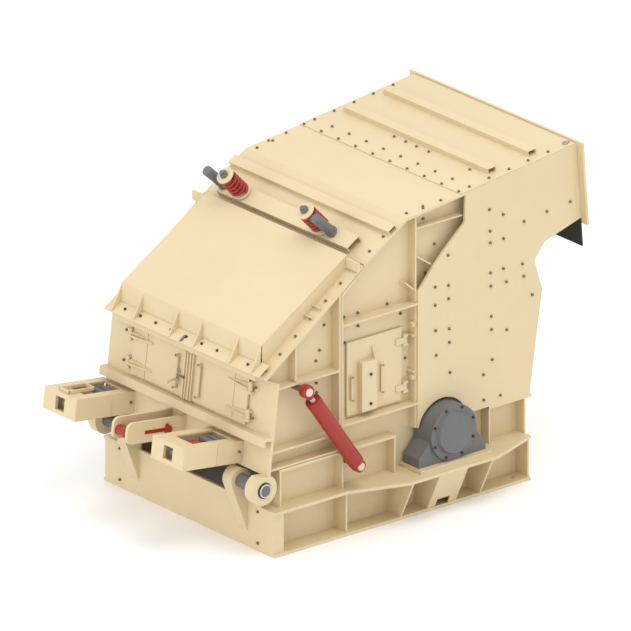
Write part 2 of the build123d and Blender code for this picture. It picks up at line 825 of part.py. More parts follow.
# Slope cover: sloping lid, side strips and front strip
cover_foot_x = COVER_TOP_X - COVER_LENGTH * cos(radians(SLOPE_ANGLE))
cover_foot_z = COVER_TOP_Z - COVER_LENGTH * sin(radians(SLOPE_ANGLE))
with BuildPart() as slope_cover:
    plate(
        [
            (COVER_TOP_X, COVER_TOP_Z),
            (cover_foot_x, cover_foot_z),
            (cover_foot_x, cover_foot_z - slope_drop),
            (COVER_TOP_X, COVER_TOP_Z - slope_drop),
        ],
        -COVER_HALF,
        COVER_HALF,
    )
    for side in (-1, 1):
        y_low, y_high = sorted((side * COVER_HALF, side * (COVER_HALF - SKIN)))
        plate(
            [
                (COVER_TOP_X, COVER_TOP_Z - slope_drop),
                (cover_foot_x, cover_foot_z - slope_drop),
                (rake_end_x + 20, rake_z(rake_end_x + 20) - rake_thick),
                (COVER_TOP_X, rake_z(COVER_TOP_X) - rake_thick),
            ],
            y_low,
            y_high,
        )
    plate(
        [
            (cover_foot_x, cover_foot_z),
            (cover_foot_x, cover_foot_z - slope_drop),
            (rake_end_x + 20, rake_z(rake_end_x)),
            (rake_end_x, rake_z(rake_end_x)),
        ],
        -COVER_HALF,
        COVER_HALF,
    )
    block(
        rake_end_x - 20,
        front_top_x,
        -COVER_HALF,
        COVER_HALF,
        rake_z(rake_end_x) - rake_thick,
        rake_z(rake_end_x),
    )
    block(
        COVER_TOP_X - SKIN,
        COVER_TOP_X,
        -COVER_HALF,
        COVER_HALF,
        rake_z(COVER_TOP_X) + 8,
        COVER_TOP_Z - slope_drop,
    )
save(slope_cover, "slope_cover")

# Swing hinge ears, cut off along the lower edge of the front wall
with BuildPart() as swing_hinge_ears:
    for side in (-1, 1):
        y_low, y_high = sorted((side * 900, side * 990))
        with BuildSketch(Plane.XZ.offset(-y_high)):
            with Locations((HINGE_X, HINGE_Z)):
                Circle(HINGE_EAR_RADIUS)
            with BuildLine():
                Polyline(
                    (HINGE_X - HINGE_EAR_RADIUS, HINGE_Z),
                    wall_point(0, HINGE_EAR_RADIUS - 30),
                    wall_point(0, -WALL),
                    (HINGE_X + HINGE_EAR_RADIUS - 1, HINGE_Z),
                    close=True,
                )
            make_face()
            with BuildLine():
                Polyline(
                    wall_point(0, 300),
                    wall_point(0, -300),
                    wall_point(200, -300),
                    wall_point(200, 300),
                    close=True,
                )
            make_face(mode=Mode.SUBTRACT)
        extrude(amount=y_high - y_low)
        disc(HINGE_X, HINGE_Z, HINGE_PIN_RADIUS + PIN_FIT, y_low, y_high, Mode.SUBTRACT)
save(swing_hinge_ears, "swing_hinge_ears")


# Adjuster boxes: hollow, slotted on top, with a square hole in the tip
def adjuster_box(middle, label):
    half = ADJUSTER_WIDTH / 2
    low = ADJUSTER_FOOT
    high = ADJUSTER_FOOT + ADJUSTER_HEIGHT
    inner = half - ADJUSTER_WALL
    with BuildPart() as box:
        wall_block(middle - half, middle + half, low, high, 0, ADJUSTER_LENGTH)
        wall_block(
            middle - inner,
            middle + inner,
            low + ADJUSTER_WALL,
            high - ADJUSTER_WALL,
            0,
            ADJUSTER_LENGTH - 30,
            Mode.SUBTRACT,
        )
        wall_block(middle - inner + 70, middle + inner - 70, low, high, 60, 430, Mode.SUBTRACT)
        wall_block(middle - 54, middle + 54, low + 34, low + 142, 400, ADJUSTER_LENGTH, Mode.SUBTRACT)
    save(box, label)


adjuster_box(ADJUSTER_NEAR, "adjuster_box_near")
adjuster_box(ADJUSTER_FAR, "adjuster_box_far")

with BuildPart() as adjuster_rods:
    for middle in (ADJUSTER_NEAR, ADJUSTER_FAR):
        with BuildSketch(wall_face):
            with Locations((middle, ADJUSTER_FOOT + ADJUSTER_HEIGHT / 2)):
                Circle(30)
        extrude(amount=ADJUSTER_LENGTH - 60)
save(adjuster_rods, "adjuster_rods")

with BuildPart() as adjuster_centre_bracket:
    for x in (CENTRE_BRACKET - CENTRE_WIDTH / 2, CENTRE_BRACKET + CENTRE_WIDTH / 2 - WALL):
        wall_block(x, x + WALL, ADJUSTER_FOOT, ADJUSTER_FOOT + ADJUSTER_HEIGHT, 0, ADJUSTER_LENGTH - 20)
save(adjuster_centre_bracket, "adjuster_centre_bracket")

with BuildPart() as adjuster_ram:
    with BuildSketch(wall_face.offset(20)):
        with Locations((CENTRE_BRACKET, ADJUSTER_FOOT + ADJUSTER_HEIGHT / 2)):
            Rectangle(CENTRE_WIDTH - 2 * WALL, 80)
    extrude(amount=ADJUSTER_LENGTH - 60)
save(adjuster_ram, "adjuster_ram")

# Lower impact apron carried by the swing frame
with BuildPart() as lower_apron:
    plate(
        [(-900, 1500), (-420, 1250), (-240, 850), (-320, 830), (-490, 1190), (-940, 1420)],
        -WALL_HALF + WALL + 10,
        WALL_HALF - WALL - 10,
    )
    disc(-900, 1455, 40, -WALL_HALF + WALL, WALL_HALF - WALL)
save(lower_apron, "lower_apron")

# Front doors with strap hinges
strap_low = GAP + FRONT_DOOR_PLATE


def front_door(side, label):
    inner, outer = sorted((side * DOOR_GAP / 2, side * FRONT_DOOR_WIDTH))
    strap_inner, strap_outer = sorted((side * (FRONT_HINGE_SIDE - STRAP_LENGTH), side * FRONT_HINGE_SIDE))
    with BuildPart() as door:
        wall_block(inner, outer, FRONT_DOOR_LOW, FRONT_DOOR_HIGH, GAP, strap_low)
        for height in FRONT_HINGE_HEIGHTS:
            low = height - KNUCKLE_HALF
            high = height + KNUCKLE_HALF
            wall_block(strap_inner, strap_outer, low, high, strap_low, strap_low + STRAP_THICKNESS)
            wall_round(side * FRONT_HINGE_SIDE, HINGE_OUT, KNUCKLE_RADIUS, low, high)
            wall_round(
                side * FRONT_HINGE_SIDE,
                HINGE_OUT,
                HINGE_BOLT_RADIUS + PIN_FIT,
                low,
                high,
                Mode.SUBTRACT,
            )
    save(door, label)


front_door(1, "front_door_near")
front_door(-1, "front_door_far")


# Side inspection door
def upright(x, y, radius, z_low, z_high, mode=Mode.ADD):
    with BuildSketch(Plane.XY.offset(z_low)) as profile:
        with Locations((x, y)):
            Circle(radius)
    extrude(profile.sketch, amount=z_high - z_low, mode=mode)


side_hinge_y = -WALL_HALF - HINGE_OUT
with BuildPart() as side_door:
    block(
        SIDE_DOOR_FRONT_X,
        SIDE_DOOR_REAR_X,
        -WALL_HALF - strap_low,
        -WALL_HALF - GAP,
        SIDE_DOOR_LOW,
        SIDE_DOOR_HIGH,
    )
    for height in SIDE_HINGE_HEIGHTS:
        low = height - KNUCKLE_HALF
        high = height + KNUCKLE_HALF
        block(
            SIDE_HINGE_X - STRAP_LENGTH,
            SIDE_HINGE_X,
            -WALL_HALF - strap_low - STRAP_THICKNESS,
            -WALL_HALF - strap_low,
            low,
            high,
        )
        upright(SIDE_HINGE_X, side_hinge_y, KNUCKLE_RADIUS, low, high)
        upright(SIDE_HINGE_X, side_hinge_y, HINGE_BOLT_RADIUS + PIN_FIT, low, high, Mode.SUBTRACT)
save_both(side_door, "side_door")

# Cylinders between base and swing frame
reach = Vector(ROD_PIN_X - BARREL_PIN_X, 0, ROD_PIN_Z - BARREL_PIN_Z)
pin_distance = reach.length
along = reach.normalized()
barrel_frame = Plane(
    origin=(BARREL_PIN_X, -CYLINDER_HALF, BARREL_PIN_Z),
    x_dir=(0, 1, 0),
    z_dir=along,
)
rod_frame = Plane(
    origin=(ROD_PIN_X, -CYLINDER_HALF, ROD_PIN_Z),
    x_dir=(0, 1, 0),
    z_dir=along * -1,
)
with BuildPart() as cylinder_barrel:
    with BuildSketch(barrel_frame.offset(40)):
        Circle(BARREL_RADIUS)
    extrude(amount=BARREL_LENGTH)
    with BuildSketch(barrel_frame.offset(70)):
        Circle(BORE_RADIUS)
    extrude(amount=BARREL_LENGTH - 60)
    with BuildSketch(barrel_frame.offset(70)):
        Circle(BORE_RADIUS)
    extrude(amount=BARREL_LENGTH - 70, mode=Mode.SUBTRACT)
    with BuildSketch(barrel_frame.offset(70)):
        Circle(ROD_RADIUS + HEAD_CLEARANCE)
    extrude(amount=BARREL_LENGTH, mode=Mode.SUBTRACT)
    disc(
        BARREL_PIN_X,
        BARREL_PIN_Z,
        EYE_RADIUS,
        -CYLINDER_HALF - EYE_WIDTH / 2,
        -CYLINDER_HALF + EYE_WIDTH / 2,
    )
    disc(
        BARREL_PIN_X,
        BARREL_PIN_Z,
        CYLINDER_PIN_RADIUS + PIN_FIT,
        -CYLINDER_HALF - EYE_WIDTH / 2,
        -CYLINDER_HALF + EYE_WIDTH / 2,
        Mode.SUBTRACT,
    )
save_both(cylinder_barrel, "cylinder_barrel")

with BuildPart() as cylinder_rod:
    with BuildSketch(rod_frame.offset(40)):
        Circle(ROD_RADIUS)
    extrude(amount=ROD_LENGTH - 40)
    disc(
        ROD_PIN_X,
        ROD_PIN_Z,
        EYE_RADIUS,
        -CYLINDER_HALF - EYE_WIDTH / 2,
        -CYLINDER_HALF + EYE_WIDTH / 2,
    )
    disc(
        ROD_PIN_X,
        ROD_PIN_Z,
        CYLINDER_PIN_RADIUS + PIN_FIT,
        -CYLINDER_HALF - EYE_WIDTH / 2,
        -CYLINDER_HALF + EYE_WIDTH / 2,
        Mode.SUBTRACT,
    )
save_both(cylinder_rod, "cylinder_rod")

with BuildPart() as cylinder_base_pins:
    for side in (-1, 1):
        y_low, y_high = sorted((side * WALL_HALF, side * (CYLINDER_HALF + EYE_WIDTH / 2 + 12)))
        disc(BARREL_PIN_X, BARREL_PIN_Z, CYLINDER_PIN_RADIUS, y_low, y_high)
save(cylinder_base_pins, "cylinder_base_pins")

with BuildPart() as cylinder_swing_pins:
    for side in (-1, 1):
        y_low, y_high = sorted((side * WALL_HALF, side * (CYLINDER_HALF + EYE_WIDTH / 2 + 12)))
        disc(ROD_PIN_X, ROD_PIN_Z, CYLINDER_PIN_RADIUS, y_low, y_high)
save(cylinder_swing_pins, "cylinder_swing_pins")
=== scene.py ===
from math import cos, pi, radians, sin, sqrt, tan, tau

import bmesh
import bpy
from mathutils import Matrix, Vector


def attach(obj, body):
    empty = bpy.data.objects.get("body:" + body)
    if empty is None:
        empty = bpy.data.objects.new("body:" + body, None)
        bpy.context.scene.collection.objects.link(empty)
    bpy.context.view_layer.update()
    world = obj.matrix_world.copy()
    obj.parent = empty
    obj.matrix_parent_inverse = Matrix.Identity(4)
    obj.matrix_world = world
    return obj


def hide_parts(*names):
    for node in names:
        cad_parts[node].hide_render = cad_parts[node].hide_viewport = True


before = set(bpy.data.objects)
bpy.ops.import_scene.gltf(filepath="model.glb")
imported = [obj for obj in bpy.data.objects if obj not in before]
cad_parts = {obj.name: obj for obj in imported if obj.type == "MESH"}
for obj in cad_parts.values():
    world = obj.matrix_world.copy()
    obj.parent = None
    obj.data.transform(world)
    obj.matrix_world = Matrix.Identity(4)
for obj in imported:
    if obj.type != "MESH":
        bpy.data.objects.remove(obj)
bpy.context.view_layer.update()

# Studio floor: a plain pale sheet far larger than the crusher, lying just under its base.
# It only catches the soft contact shadow and isn't part of the machine.
floor_size, floor_drop = 300, 0.001
floor_white, floor_roughness = 0.97, 0.9
bpy.ops.object.select_all(action="DESELECT")
bpy.ops.mesh.primitive_plane_add(size=floor_size, location=(0, 0, -floor_drop))
floor = bpy.context.object
floor.name = "studio_floor"
floor_paint = bpy.data.materials.new("studio_floor")
floor_paint.use_nodes = True
floor_shader = floor_paint.node_tree.nodes["Principled BSDF"]
floor_shader.inputs["Base Color"].default_value = (floor_white, floor_white, floor_white, 1)
floor_shader.inputs["Roughness"].default_value = floor_roughness
floor.data.materials.append(floor_paint)

# Studio light: an even white dome and two large soft boxes, one high above the camera side
# and one lower in front of the doors, so that every face keeps some shape.
dome_strength = 1.12
machine_middle = Vector((0, 0, 1.2))
soft_boxes = (
    ("key_box", (-0.5, -4.5, 11.0), 5.0, 290),
    ("fill_box", (-9.0, 1.5, 4.5), 6.0, 122),
)
world = bpy.data.worlds.new("studio_dome")
world.use_nodes = True
world.node_tree.nodes["Background"].inputs["Color"].default_value = (1, 1, 1, 1)
world.node_tree.nodes["Background"].inputs["Strength"].default_value = dome_strength
bpy.context.scene.world = world
bpy.context.scene.view_settings.view_transform = "Standard"
bpy.context.scene.view_settings.look = "None"
for name, place, size, power in soft_boxes:
    soft_box = bpy.data.lights.new(name, "AREA")
    soft_box.size = size
    soft_box.energy = power
    lamp = bpy.data.objects.new(name, soft_box)
    lamp.location = place
    aim = machine_middle - Vector(place)
    lamp.rotation_euler = aim.to_track_quat("-Z", "Y").to_euler()
    bpy.context.scene.collection.objects.link(lamp)

# Camera: a long lens from the door corner, slightly above, as the catalogue view has it.
# The distance is large so that parallel edges of the base stay parallel.
view_turn = radians(39.26)
view_rise = radians(21.4)
view_distance = 150.0
lens_per_metre = 7.507
sensor_width = 36
view_limit = 400
view_target = Vector((-0.0177, 0, 1.3505))
view_back = Vector((
    -sin(view_turn) * cos(view_rise), -cos(view_turn) * cos(view_rise), sin(view_rise)
))
camera_data = bpy.data.cameras.new("catalogue_view")
camera_data.lens = lens_per_metre * view_distance
camera_data.sensor_width = sensor_width
camera_data.clip_end = view_limit
camera = bpy.data.objects.new("catalogue_view", camera_data)
camera.location = view_target + view_back * view_distance
camera.rotation_euler = (-view_back).to_track_quat("-Z", "Y").to_euler()
bpy.context.scene.collection.objects.link(camera)
bpy.context.scene.camera = camera


# Base frame: a box of welded rolled plate, sprayed in a cream top coat that has a faint
# orange peel and a little unevenness. Four plain hexagon bolts sit in its front plate.
def top_coat(name, light, dark, roughness, peel, metal=0.0):
    paint = bpy.data.materials.new(name)
    paint.use_nodes = True
    nodes = paint.node_tree.nodes
    links = paint.node_tree.links
    shader = nodes["Principled BSDF"]
    shader.inputs["Metallic"].default_value = metal
    place = nodes.new("ShaderNodeTexCoord")
    cloud = nodes.new("ShaderNodeTexNoise")
    cloud.inputs["Scale"].default_value = 1.6
    cloud.inputs["Detail"].default_value = 6
    cloud.inputs["Roughness"].default_value = 0.62
    links.new(place.outputs["Object"], cloud.inputs["Vector"])
    shade = nodes.new("ShaderNodeValToRGB")
    shade.color_ramp.elements[0].position = 0.3
    shade.color_ramp.elements[0].color = (*dark, 1)
    shade.color_ramp.elements[1].position = 0.7
    shade.color_ramp.elements[1].color = (*light, 1)
    links.new(cloud.outputs["Fac"], shade.inputs["Fac"])
    links.new(shade.outputs["Color"], shader.inputs["Base Color"])
    spread = nodes.new("ShaderNodeMapRange")
    spread.inputs["To Min"].default_value = roughness - 0.07
    spread.inputs["To Max"].default_value = roughness + 0.09
    links.new(cloud.outputs["Fac"], spread.inputs["Value"])
    links.new(spread.outputs["Result"], shader.inputs["Roughness"])
    grain = nodes.new("ShaderNodeTexNoise")
    grain.inputs["Scale"].default_value = 320
    grain.inputs["Detail"].default_value = 2
    links.new(place.outputs["Object"], grain.inputs["Vector"])
    bump = nodes.new("ShaderNodeBump")
    bump.inputs["Strength"].default_value = peel
    bump.inputs["Distance"].default_value = 0.001
    links.new(grain.outputs["Fac"], bump.inputs["Height"])
    links.new(bump.outputs["Normal"], shader.inputs["Normal"])
    return paint


def finish_nodes(material, *names):
    for name in names:
        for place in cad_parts[name].material_slots:
            place.material = material


def pick(kind, wanted):
    bpy.context.tool_settings.mesh_select_mode = (False, kind == "edges", kind == "faces")
    bpy.ops.mesh.select_all(action="DESELECT")
    shape = bmesh.from_edit_mesh(bpy.context.object.data)
    for part in getattr(shape, kind):
        if wanted(part):
            part.select_set(True)
    shape.select_flush_mode()
    bmesh.update_edit_mesh(bpy.context.object.data)


def settle(piece, name, paint, body):
    bpy.ops.object.select_all(action="DESELECT")
    piece.select_set(True)
    bpy.context.view_layer.objects.active = piece
    bpy.ops.object.transform_apply(location=True, rotation=True, scale=True)
    piece.name = name
    piece.data.name = name
    piece.data.materials.clear()
    piece.data.materials.append(paint)
    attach(piece, body)
    return piece


def joined(pieces):
    bpy.ops.object.select_all(action="DESELECT")
    for piece in pieces:
        piece.select_set(True)
    bpy.context.view_layer.objects.active = pieces[0]
    if len(pieces) > 1:
        bpy.ops.object.join()
    return pieces[0]


# A hexagon head on its washer, with the top corners rounded. Its sizes are in metres.
def hex_bolt(across, head):
    seat, washer = 0.003, 0.005
    bpy.ops.object.select_all(action="DESELECT")
    bpy.ops.mesh.primitive_cylinder_add(
        vertices=6, radius=across / sqrt(3), depth=head, location=(0, 0, seat + head / 2)
    )
    bolt = bpy.context.object
    bpy.ops.object.transform_apply(location=True)
    bpy.ops.object.mode_set(mode="EDIT")
    pick("edges", lambda edge: min(end.co.z for end in edge.verts) > head)
    bpy.ops.mesh.bevel(offset=0.12 * across, segments=2)
    bpy.ops.mesh.primitive_cylinder_add(
        vertices=16, radius=0.66 * across, depth=washer, location=(0, 0, seat / 2)
    )
    bpy.ops.object.mode_set(mode="OBJECT")
    return bolt


# One piece of many copies of a bolt, whose heads face outwards. Places are in millimetres.
def fasten(name, model, places, facing, body, paint):
    turn = Vector(facing).to_track_quat("Z", "Y").to_matrix().to_4x4()
    copies = []
    for place in places:
        copy = model.copy()
        copy.data = model.data.copy()
        copy.matrix_world = Matrix.Translation(Vector(place) / 1000) @ turn
        bpy.context.scene.collection.objects.link(copy)
        copies.append(copy)
    return settle(joined(copies), name, paint, body)


cream = top_coat("cream_top_coat", (0.662, 0.541, 0.334), (0.632, 0.508, 0.307), 0.5, 0.12)
bolt_steel = top_coat("bolt_steel", (0.20, 0.155, 0.09), (0.145, 0.11, 0.065), 0.5, 0.2)
dark_steel = top_coat("dark_steel", (0.045, 0.04, 0.035), (0.03, 0.027, 0.024), 0.5, 0.2)
finish_nodes(cream, *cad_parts)
small_bolt = hex_bolt(0.018, 0.011)
large_bolt = hex_bolt(0.040, 0.022)
front_plate = -1259
plate_bolts = [(front_plate, y, z) for y in (-833, 833) for z in (65, 320)]
fasten("base_plate_bolts", small_bolt, plate_bolts, (-1, 0, 0), "main_frame", bolt_steel)

# Rotor bearings: split cast-iron plummer blocks in grey, bolted down to the pedestals, each
# with a turned cover held by a ring of screws. The shaft and rotor inside are bare metal.
bearing_x, bearing_z = 440, 620
cover_face, cover_circle, cover_screws = 1102, 203, 8
grey = top_coat("grey_top_coat", (0.150, 0.150, 0.154), (0.118, 0.118, 0.121), 0.5, 0.15)
shaft_steel = top_coat("shaft_steel", (0.45, 0.45, 0.46), (0.38, 0.38, 0.39), 0.3, 0.03, 0.8)
wear_iron = top_coat("wear_iron", (0.12, 0.11, 0.10), (0.07, 0.065, 0.06), 0.6, 0.3)
finish_nodes(
    grey, "bearing_housing_near", "bearing_housing_far", "bearing_cover_near", "bearing_cover_far"
)
finish_nodes(shaft_steel, "rotor_shaft")
finish_nodes(wear_iron, "rotor_body", "blow_bars", "upper_apron", "lower_apron")
cover_bolts = []
for screw in range(cover_screws):
    angle = tau * (screw + 0.5) / cover_screws
    x, z = bearing_x + cover_circle * cos(angle), bearing_z + cover_circle * sin(angle)
    cover_bolts.append((x, z))
for side, sign in (("near", -1), ("far", 1)):
    places = [(x, sign * cover_face, z) for x, z in cover_bolts]
    fasten(
        f"bearing_cover_bolts_{side}", small_bolt, places, (0, sign, 0), "main_frame", dark_steel
    )

# Crushing chamber walls: thick side plates with bolts that hold the liner plates inside.
# Flat bars stiffen the recess beside the feed end, and cream heads hold the upright rib.
wall_face = 870
swing_split = -556
wall_bolts = (
    (-648, 1695), (-692, 1501), (-727, 1423), (-724, 1243), (-720, 1165), (-455, 1712),
    (-446, 1501), (-319, 1712), (-32, 1715), (-316, 1605), (99, 1604), (104, 1357),
    (145, 1230), (154, 1018), (320, 2319), (429, 2087), (338, 1876),
)
recess_bars = (
    ((196, 2285), (650, 2285)), ((203, 2058), (349, 1959)), ((92, 1872), (184, 1792))
)
recess_middle, recess_width, recess_thickness = 904, 72, 12
rib_head_x, rib_head_y = 180, 930


def flat_bar(start, end, width, thickness, facing):
    start, end, facing = Vector(start) / 1000, Vector(end) / 1000, Vector(facing).normalized()
    bpy.ops.object.select_all(action="DESELECT")
    size = ((end - start).length, width / 1000, thickness / 1000)
    bpy.ops.mesh.primitive_cube_add(size=1, scale=size)
    bar = bpy.context.object
    bpy.ops.object.transform_apply(scale=True)
    bpy.ops.object.mode_set(mode="EDIT")
    bpy.ops.mesh.select_all(action="SELECT")
    bpy.ops.mesh.bevel(offset=0.0025, segments=2)
    bpy.ops.object.mode_set(mode="OBJECT")
    run = (end - start).normalized()
    turn = Matrix((run, facing.cross(run), facing)).transposed().to_4x4()
    bar.matrix_world = Matrix.Translation((start + end) / 2) @ turn
    return bar


# A plate or bar with rounded edges between two corners. A cut is a point on a sloping plane
# and the direction in which the plane's far side is taken away.
def block(low, high, edge=2.0, cuts=()):
    low, high = Vector(low) / 1000, Vector(high) / 1000
    size = [abs(side) for side in high - low]
    bpy.ops.object.select_all(action="DESELECT")
    bpy.ops.mesh.primitive_cube_add(size=1, location=(low + high) / 2, scale=size)
    piece = bpy.context.object
    bpy.ops.object.transform_apply(location=True, scale=True)
    bpy.ops.object.mode_set(mode="EDIT")
    for point, away in cuts:
        bpy.ops.mesh.select_all(action="SELECT")
        bpy.ops.mesh.bisect(
            plane_co=Vector(point) / 1000, plane_no=away, use_fill=True, clear_outer=True
        )
    bpy.ops.mesh.select_all(action="SELECT")
    bpy.ops.mesh.bevel(offset=edge / 1000, segments=2)
    bpy.ops.mesh.normals_make_consistent(inside=False)
    bpy.ops.object.mode_set(mode="OBJECT")
    return piece


for side, sign in (("near", -1), ("far", 1)):
    for part, body, bolts in (
        ("wall", "main_frame", [(x, z) for x, z in wall_bolts if x > swing_split]),
        ("front_wall", "swing_frame", [(x, z) for x, z in wall_bolts if x < swing_split]),
    ):
        places = [(x, sign * wall_face, z) for x, z in bolts]
        fasten(f"{part}_bolts_{side}", small_bolt, places, (0, sign, 0), body, bolt_steel)
    bars = []
    for (x0, z0), (x1, z1) in recess_bars:
        bars.append(flat_bar(
            (x0, sign * recess_middle, z0), (x1, sign * recess_middle, z1),
            recess_width, recess_thickness, (z0 - z1, 0, x1 - x0),
        ))
    settle(joined(bars), f"recess_bars_{side}", cream, "main_frame")
    places = [(rib_head_x, sign * rib_head_y, z) for z in (1085, 1515)]
    fasten(
        f"rib_heads_{side}", large_bolt, places, (-1, 0, 0), "main_frame", cream
    )

# Pedestal boxes: each bearing stands over a leaning plate with a drain notch, welded between
# the ribs. Upright ribs close the deck on both sides of the bearing, and two small shelves
# on the wall above carry the side door's hinge.
box_foot, box_out, box_low, box_rise, box_inset = 1030, 153, 25, 315, 8
notch_top, box_top = 92, 336
shelf_inner, rib_outer, shelf_outer = 868, 963, 948
for side, sign in (("near", -1), ("far", 1)):
    lean = Vector((0, sign * 317, -151)).normalized()
    foot = [
        sign * (box_foot + box_out * (z - box_low) / box_rise) - sign * box_inset
        for z in (28, notch_top, box_top)
    ]
    boxes = [
        flat_bar((376, foot[1], notch_top), (376, foot[2], box_top), 282, 12, lean),
        flat_bar((274, foot[0], 28), (274, foot[1], notch_top), 78, 12, lean),
        flat_bar((478, foot[0], 28), (478, foot[1], notch_top), 78, 12, lean),
        block((-34, sign * shelf_inner, 365), (-18, sign * rib_outer, 672)),
        block((898, sign * shelf_inner, 365), (914, sign * rib_outer, 672)),
        block((158, sign * shelf_inner, 1421), (184, sign * shelf_outer, 1433)),
        block((158, sign * shelf_inner, 1127), (184, sign * shelf_outer, 1139)),
    ]
    settle(joined(boxes), f"pedestal_plates_{side}", cream, "main_frame")

# Feed end: side plates that carry the chute liners, bolted through all over, and a rubber
# curtain that keeps the stone in.
feed_face = 965
feed_bolts = (
    (894, 2280), (1029, 2207), (1235, 2100), (900, 2103), (1033, 2010), (903, 2008),
    (487, 2009), (1221, 1758), (1033, 1766), (906, 1762), (1235, 1655), (1062, 1651),
    (910, 1654), (361, 1781), (492, 1762), (494, 1654), (362, 1633), (915, 1406),
    (367, 1426), (500, 1408), (918, 1298), (1068, 1259), (502, 1297), (372, 1223),
    (925, 1051), (509, 1050), (840, 948), (1461, 2127), (1692, 2150), (1319, 1483),
    (844, 741), (1007, 739),
)
rubber = top_coat("curtain_rubber", (0.022, 0.022, 0.024), (0.014, 0.014, 0.015), 0.7, 0.3)
finish_nodes(rubber, "feed_curtain")
for side, sign in (("near", -1), ("far", 1)):
    places = [(x, sign * feed_face, z) for x, z in feed_bolts]
    fasten(f"feed_bolts_{side}", small_bolt, places, (0, sign, 0), "main_frame", bolt_steel)

# Roof: two lapped plates with folded channels across them, falling to a steep front slope
# and bolted along their edges. A forged lifting ring lies in the corner hole on the camera
# side.
ridge_x, ridge_z = 82, 2402
roof_fall, slope_rise = 0.12278, 0.6395
lap_start, lap_end, lap_width, lap_plate = 615, 1738, 1926, 8
seam_start, seam_pitch = 721, 205.7
channel_width, channel_height, channel_plate = 80, 40, 8
ring_x, ring_y = 1.719, -0.907


def roof_height(x, rise):
    return ridge_z + (x - ridge_x) * rise


# A plate folded down along both long edges. Its middle is in metres, the rest in millimetres.
def folded_channel(size, plate, middle, along, up):
    bpy.ops.object.select_all(action="DESELECT")
    bpy.ops.mesh.primitive_cube_add(size=1, scale=[side / 1000 for side in size])
    channel = bpy.context.object
    bpy.ops.object.transform_apply(scale=True)
    bpy.ops.object.mode_set(mode="EDIT")
    pick("faces", lambda face: face.normal.z < -0.9 or abs(face.normal.y) > 0.9)
    bpy.ops.mesh.delete(type="FACE")
    bpy.ops.object.mode_set(mode="OBJECT")
    folded = channel.modifiers.new("folded", "SOLIDIFY")
    folded.thickness = plate / 1000
    folded.offset = -1
    bpy.ops.object.modifier_apply(modifier=folded.name)
    turn = Matrix((along, (0, 1, 0), up)).transposed().to_4x4()
    channel.matrix_world = Matrix.Translation(middle) @ turn
    return channel


roof_bolts = [(x, seam_start - seam_pitch * step) for x in (629, 735) for step in range(8)]
roof_bolts += [(924, y) for y in (206, 67, -63, -208, -697)]
roof_bolts += [(x, y) for y in (-925, 925) for x in (276, 450, 626, 731, 923, 1120, 1310, 1506)]
roof_bolts += [(139, -894), (296, -898), (139, 894), (296, 898)]
places = [
    (x, y, roof_height(x, roof_fall) + (lap_plate if x >= lap_start else 0)) for x, y in roof_bolts
]
fasten("roof_bolts", small_bolt, places, (-roof_fall, 0, 1), "main_frame", bolt_steel)
places = [(x, y, roof_height(x, slope_rise)) for x in (-235, -101) for y in (-911, 911)]
fasten("slope_bolts", small_bolt, places, (-slope_rise, 0, 1), "main_frame", bolt_steel)
channels = []
for x, half, rise in ((1006, 862, roof_fall), (1402, 862, roof_fall), (-38, 957, slope_rise)):
    low = roof_height(x, rise) + (lap_plate if x > 0 else 0)
    along = Vector((1, 0, rise)).normalized()
    up = Vector((-rise, 0, 1)).normalized()
    middle = Vector((x, 0, low)) / 1000 + up * (channel_height / 2000)
    size = (channel_width, 2 * half, channel_height)
    channels.append(folded_channel(size, channel_plate, middle, along, up))
lap_ends = [
    Vector((x, 0, roof_height(x, roof_fall) + lap_plate / 2)) for x in (lap_start, lap_end)
]
channels.append(flat_bar(*lap_ends, lap_width, lap_plate, (-roof_fall, 0, 1)))
roof_channels = settle(joined(channels), "roof_channels", cream, "main_frame")
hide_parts("roof_ribs")
ring_place = Vector((
    ring_x, ring_y, roof_height(1000 * ring_x, roof_fall) / 1000 + lap_plate / 1000
))
bpy.ops.object.select_all(action="DESELECT")
bpy.ops.mesh.primitive_torus_add(
    major_radius=0.020, minor_radius=0.0055, major_segments=28, minor_segments=10,
    location=ring_place + Vector((-0.030, 0, 0.003)), rotation=(0, -0.122, 0),
)
ring = bpy.context.object
bpy.ops.mesh.primitive_cylinder_add(
    vertices=20, radius=0.013, depth=0.010, location=ring_place + Vector((0, 0, 0.002))
)
collar = bpy.context.object
bpy.ops.object.mode_set(mode="EDIT")
pick("faces", lambda face: face.normal.z > 0.9)
bpy.ops.mesh.inset(thickness=0.005)
bpy.ops.mesh.extrude_region_move(TRANSFORM_OT_translate={"value": (0, 0, 0.003)})
bpy.ops.object.mode_set(mode="OBJECT")
settle(joined([ring, collar]), "lifting_ring", shaft_steel, "main_frame")

# Stop springs: two coils of thick red wire between cream plates press the folded beam down,
# with grey guide tubes outside them. The wire is wound almost closed, in five turns.
slope_run, slope_up = Vector((0.8425, 0, 0.5388)), Vector((-0.5388, 0, 0.8425))
beam_size, beam_plate = (138, 1568, 60), 10
beam_foot = Vector((-246, 20, 2192))
spring_axis = Vector((-0.688, 0, 0.725))
tube_axis = Vector((-0.741, 0, 0.672))
spring_seats = [Vector((-286.8, y, 2256)) for y in (-415, 549)]
tube_seats = [Vector((-285.5, y, 2254)) for y in (-532, 766)]
wedge_depth = 34
plate_radius, plate_depth, upper_plate = 72, 14, 236
stem_radius, stem_length = 18, 300
nut_radius, nut_low, nut_high = 34, 250, 278
tube_radius, tube_length, sleeve_radius, sleeve_length = 40, 237, 46, 24
wire_radius, coil_foot, coil_head, coil_turns = 0.0135, 0.0145, 0.2355, 5
red = top_coat("red_top_coat", (0.345, 0.021, 0.012), (0.275, 0.016, 0.010), 0.38, 0.08)
# Bright ground steel for the piston rods; it is also the painted highlight on the hinge pin rims.
rod_steel_and_highlight = top_coat("rod_steel_and_highlight", (0.62, 0.62, 0.62), (0.55, 0.55, 0.55), 0.25, 0.02)


